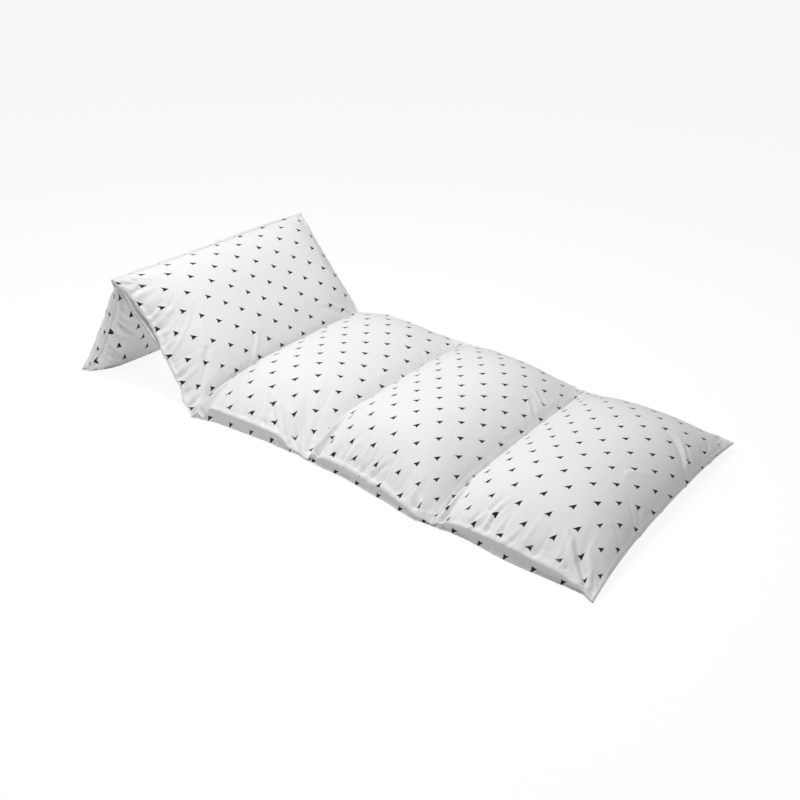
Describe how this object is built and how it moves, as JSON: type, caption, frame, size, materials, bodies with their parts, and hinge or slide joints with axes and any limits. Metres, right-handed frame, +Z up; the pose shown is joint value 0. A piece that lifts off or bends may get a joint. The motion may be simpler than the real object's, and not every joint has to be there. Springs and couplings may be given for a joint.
{
  "type": "filled floor cushion cover",
  "caption": "Long floor cushion cover filled with pillows, sewn across into crowned pockets with tuck-in flaps, its head end folded up into a tent-shaped backrest.",
  "frame": {"origin": "on the floor, under the middle of the whole cover as it lies", "axes": "+X along the cover from the folded head end to the foot end, +Y from the pockets' mouths to their closed sides, +Z up"},
  "size_m": [1.7926, 0.777, 0.36],
  "materials": {
    "printed_cotton": "matt white woven cotton with small near-black marks",
    "flap_cotton": "matt white woven cotton with small near-black marks"
  },
  "bodies": {
    "root": {"cover": "printed_cotton", "tuck_flap_foot": "flap_cotton", "tuck_flap_second": "flap_cotton", "tuck_flap_third": "flap_cotton", "tuck_flap_backrest": "flap_cotton"}
  },
  "joints": []
}
